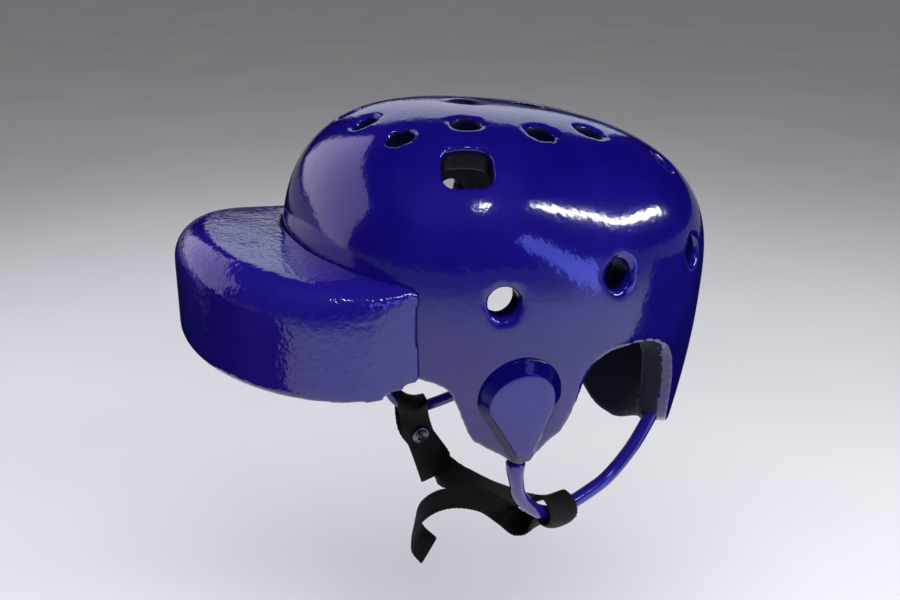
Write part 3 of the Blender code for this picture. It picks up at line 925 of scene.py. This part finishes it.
def make_snaps(places, widths, material):
    """The snap on the strap's tab, and the plain one under its tail."""
    lift = STRAP_THICKNESS / 2 + SNAP_SEAT
    on_tab = TAB_SNAP_ROW * STRAP_STEPS
    on_tail = len(places) - 1 - TAIL_SNAP_ROW * STRAP_STEPS
    rows = (
        ("snap_face", "snap_cap_right", on_tab, Vector((1, 0, 0))),
        ("snap_back", "snap_plain_left", on_tail, Vector((0, 0, -1))),
    )
    for name, node, at, way in rows:
        face = ribbon_frame(places, widths, at)[1]
        face = face if face.dot(way) > 0 else -face
        make_snap(name, node, places[at] + lift * face, face, material)


def new_material(name):
    """A material with its shader, node maker and link maker."""
    material = bpy.data.materials.new(name)
    material.use_nodes = True
    tree = material.node_tree
    return material, tree.nodes["Principled BSDF"], tree.nodes.new, tree.links.new


def noise(add, join, coords, scale, detail):
    """A field of soft noise."""
    made = add("ShaderNodeTexNoise")
    made.inputs["Scale"].default_value = scale
    made.inputs["Detail"].default_value = detail
    join(coords, made.inputs["Vector"])
    return made.outputs["Fac"]


def tones(add, join, fac, dark, light, low=0.3, high=0.7):
    """A field turned into a blend of two colours."""
    ramp = add("ShaderNodeValToRGB")
    ramp.color_ramp.elements[0].position = low
    ramp.color_ramp.elements[0].color = (*dark, 1)
    ramp.color_ramp.elements[1].position = high
    ramp.color_ramp.elements[1].color = (*light, 1)
    join(fac, ramp.inputs["Fac"])
    return ramp.outputs["Color"]


def relief(add, join, height, distance, strength, under=None):
    """A field turned into bumps, over others if there are any."""
    bump = add("ShaderNodeBump")
    bump.inputs["Distance"].default_value = distance
    bump.inputs["Strength"].default_value = strength
    join(height, bump.inputs["Height"])
    if under:
        join(under, bump.inputs["Normal"])
    return bump.outputs["Normal"]


def vinyl(name, dark, light, peel=0.0004, ripple=0.25, roughness=0.12, coat=0.35, gloss=0.5):
    """Dipped vinyl: a wet skin with orange peel, slow waves and faint changes of depth."""
    material, shader, add, join = new_material(name)
    coords = add("ShaderNodeTexCoord").outputs["Object"]
    depth = noise(add, join, coords, scale=22, detail=3)
    join(tones(add, join, depth, dark, light), shader.inputs["Base Color"])
    slow = noise(add, join, coords, scale=42, detail=2)
    waves = relief(add, join, slow, distance=0.0012, strength=ripple)
    fine = noise(add, join, coords, scale=330, detail=2)
    skin = relief(add, join, fine, distance=peel, strength=0.2, under=waves)
    join(skin, shader.inputs["Normal"])
    join(skin, shader.inputs["Coat Normal"])
    shader.inputs["Roughness"].default_value = roughness
    shader.inputs["Coat Weight"].default_value = coat
    shader.inputs["Coat Roughness"].default_value = 0.03
    shader.inputs["Specular IOR Level"].default_value = gloss
    shader.inputs["IOR"].default_value = 1.5
    return material


def webbing():
    """Black webbing: rows of yarn across the strap, crossed by ribs along it, with painted shade in the
    hollows between yarns.
    """
    material, shader, add, join = new_material("black_webbing")
    coords = add("ShaderNodeUVMap")
    coords.uv_map = "weave"
    heights = []
    for direction in ("X", "Y"):
        wave = add("ShaderNodeTexWave")
        wave.bands_direction = direction
        # At scale 1 the texture has its bands pi / 10 apart.
        wave.inputs["Scale"].default_value = math.pi / 10 / YARN
        wave.inputs["Distortion"].default_value = 0.4
        join(coords.outputs["UV"], wave.inputs["Vector"])
        heights.append(wave.outputs["Fac"])
    weave = add("ShaderNodeMath")
    weave.operation = "MULTIPLY"
    join(heights[0], weave.inputs[0])
    join(heights[1], weave.inputs[1])
    yarns = weave.outputs[0]
    # The colour follows the weave's height: painted shade in the hollows between the yarns.
    dark, light = (0.0012, 0.0012, 0.0008), (0.010, 0.0095, 0.0065)
    join(tones(add, join, yarns, dark, light, low=0.1, high=0.9), shader.inputs["Base Color"])
    join(relief(add, join, yarns, distance=0.0005, strength=0.9), shader.inputs["Normal"])
    shader.inputs["Roughness"].default_value = 0.62
    shader.inputs["Specular IOR Level"].default_value = 0.25
    return material


def dark_nickel():
    """Dull dark metal for the snaps."""
    material, shader, add, join = new_material("dark_nickel")
    coords = add("ShaderNodeTexCoord").outputs["Object"]
    grain = noise(add, join, coords, scale=900, detail=2)
    dark, light = (0.10, 0.10, 0.11), (0.22, 0.22, 0.23)
    join(tones(add, join, grain, dark, light), shader.inputs["Base Color"])
    join(relief(add, join, grain, distance=0.0001, strength=0.2), shader.inputs["Normal"])
    shader.inputs["Metallic"].default_value = 1.0
    shader.inputs["Roughness"].default_value = 0.28
    return material


def towards(azimuth, elevation):
    """Unit direction: azimuth 0 is the front and 90 the wearer's left."""
    a, e = math.radians(azimuth), math.radians(elevation)
    return Vector((math.sin(a) * math.cos(e), -math.cos(a) * math.cos(e), math.sin(e)))


def facing(first, second, distance):
    """Length and matrix of a strip between two directions, facing the helmet."""
    ends = [distance * towards(*first), distance * towards(*second)]
    middle = (ends[0] + ends[1]) / 2
    along = (ends[1] - ends[0]).normalized()
    back = (middle - middle.dot(along) * along).normalized()
    centre = middle + Vector((0, 0, HELMET_HEIGHT))
    return (ends[1] - ends[0]).length, placed(centre, along, back.cross(along), back)


# Strips of light: the directions of a strip's ends as azimuth and elevation, its width and power, its
# colour, and whether the skin mirrors it.
LIGHTS = (
    ("name", "first end", "second end", "width", "power", "colour", "mirrored"),
    ("overhead", (63, 30), (63, 84), 1.4, 24, WHITE, False),
    ("band_near", (118, 41), (136, 20), 0.075, 3.6, WHITE, True),
    ("band_far", (136, 20), (163, 17), 0.075, 3.6, WHITE, True),
    ("small", (81, 44), (89, 48), 0.050, 0.9, WHITE, True),
    ("streak", (101, 20), (127, -12), 0.15, 2.2, (0.16, 0.20, 1.0), True),
    ("front", (-12, 12), (-80, 24), 0.75, 3.6, (0.86, 0.74, 1.0), True),
    ("far_side", (-95, 22), (-140, 22), 0.50, 1.1, (0.85, 0.90, 1.0), True),
)

# Black cards: the directions of a card's ends as azimuth and elevation.
FLAGS = (
    ("name", "first end", "second end"),
    ("front_flag", (30, -17), (-30, -17)),
    ("right_flag", (-30, -17), (-95, -17)),
    ("back_flag", (140, -17), (-125, -17)),
)


def softbox(name, first, second, width, power, colour, mirrored):
    """A strip of light, mirrored in the helmet's skin or not."""
    lamp = bpy.data.lights.new(name, "AREA")
    lamp.shape = "RECTANGLE"
    lamp.size, place = facing(first, second, LIGHT_DISTANCE)
    lamp.size_y = width
    lamp.energy = power
    lamp.color = colour
    made = bpy.data.objects.new(name, lamp)
    made.visible_glossy = mirrored
    bpy.context.scene.collection.objects.link(made)
    made.matrix_world = place


def flag(name, first, second):
    """A black studio card that only the skin's reflections see."""
    length, place = facing(first, second, FLAG_DISTANCE)
    bm = bmesh.new()
    bmesh.ops.create_grid(bm, x_segments=2, y_segments=2, size=0.5)
    card = new_object(name, bm)
    card.matrix_world = place @ Matrix.Diagonal((length, FLAG_WIDTH, 1, 1))
    material, shader, add, join = new_material(f"{name}_felt")
    coords = add("ShaderNodeTexCoord").outputs["Object"]
    nap = noise(add, join, coords, scale=90, detail=2)
    join(tones(add, join, nap, (0.002,) * 3, (0.004,) * 3), shader.inputs["Base Color"])
    shader.inputs["Roughness"].default_value = 1.0
    shader.inputs["Specular IOR Level"].default_value = 0.0
    card.data.materials.append(material)
    card.visible_camera = card.visible_diffuse = card.visible_shadow = False


def make_floor():
    """A wide pale floor below the helmet."""
    bm = bmesh.new()
    bmesh.ops.create_grid(bm, x_segments=8, y_segments=8, size=FLOOR_REACH)
    floor = new_object("studio_floor", bm)
    floor.location.z = HELMET_HEIGHT - FLOOR_DROP
    material, shader, add, join = new_material("pale_floor")
    coords = add("ShaderNodeTexCoord").outputs["Object"]
    stain = noise(add, join, coords, scale=3, detail=2)
    dark, light = (0.58, 0.58, 0.60), (0.62, 0.62, 0.63)
    join(tones(add, join, stain, dark, light), shader.inputs["Base Color"])
    shader.inputs["Roughness"].default_value = 0.9
    floor.data.materials.append(material)


def make_camera():
    """The photograph's camera."""
    turn = math.radians(CAMERA_ROLL)
    back = towards(CAMERA_AZIMUTH, CAMERA_ELEVATION)
    level = Vector((-back.y, back.x, 0)).normalized()
    upright = back.cross(level)
    right = math.cos(turn) * level + math.sin(turn) * upright
    up = math.cos(turn) * upright - math.sin(turn) * level
    lens = bpy.data.cameras.new("camera")
    lens.lens = CAMERA_LENS
    lens.clip_start = 0.01
    camera = bpy.data.objects.new("camera", lens)
    bpy.context.scene.collection.objects.link(camera)
    place = back * CAMERA_DISTANCE + right * CAMERA_RIGHT + up * CAMERA_UP
    place += Vector((0, 0, HELMET_HEIGHT))
    camera.matrix_world = placed(place, right, up, back)
    bpy.context.scene.camera = camera


def make_lights():
    """A soft studio: an overhead box and a dim room, with strips that draw the highlights."""
    world = bpy.data.worlds.new("studio")
    world.use_nodes = True
    background = world.node_tree.nodes["Background"]
    background.inputs["Color"].default_value = WORLD_COLOUR
    background.inputs["Strength"].default_value = WORLD_STRENGTH
    world.cycles_visibility.glossy = False
    bpy.context.scene.world = world
    bpy.context.scene.view_settings.view_transform = "Standard"
    for row in LIGHTS[1:]:
        softbox(*row)
    for row in FLAGS[1:]:
        flag(*row)


make_camera()
make_lights()
make_floor()
shell_skin = vinyl("indigo_vinyl", (0.0022, 0.0010, 0.072), (0.0055, 0.0026, 0.105))
visor_skin = vinyl(
    "navy_vinyl", (0.0035, 0.0018, 0.080), (0.0080, 0.0042, 0.120), peel=0.0016, ripple=0.6
)
pad_skin = vinyl(
    "pad_vinyl", (0.0050, 0.0030, 0.100), (0.0090, 0.0050, 0.135), roughness=0.18
)
# Painted shade for the pads' sloping bands: a darker, duller copy of the pads' skin.
painted_shade_band_skin = vinyl(
    "painted_shade_band_vinyl", (0.0008, 0.0006, 0.040), (0.0020, 0.0012, 0.060), coat=0.1, gloss=0.2
)
cord_skin = vinyl(
    "cord_vinyl", (0.0070, 0.0045, 0.115), (0.0110, 0.0075, 0.150), peel=0.0002
)
# Painted shade for the inside of the shell and the walls of its vents and rim: a dark, dull skin.
inside_shade = vinyl(
    "painted_inside_shade",
    (0.0006, 0.0005, 0.010),
    (0.0012, 0.0010, 0.018),
    roughness=0.5,
    coat=0.0,
    gloss=0.15,
)
make_shell(shell_skin, inside_shade)
make_visor(visor_skin)
make_pads(pad_skin, painted_shade_band_skin)
make_cords(cord_skin)
make_snaps(*make_strap(webbing()), dark_nickel())
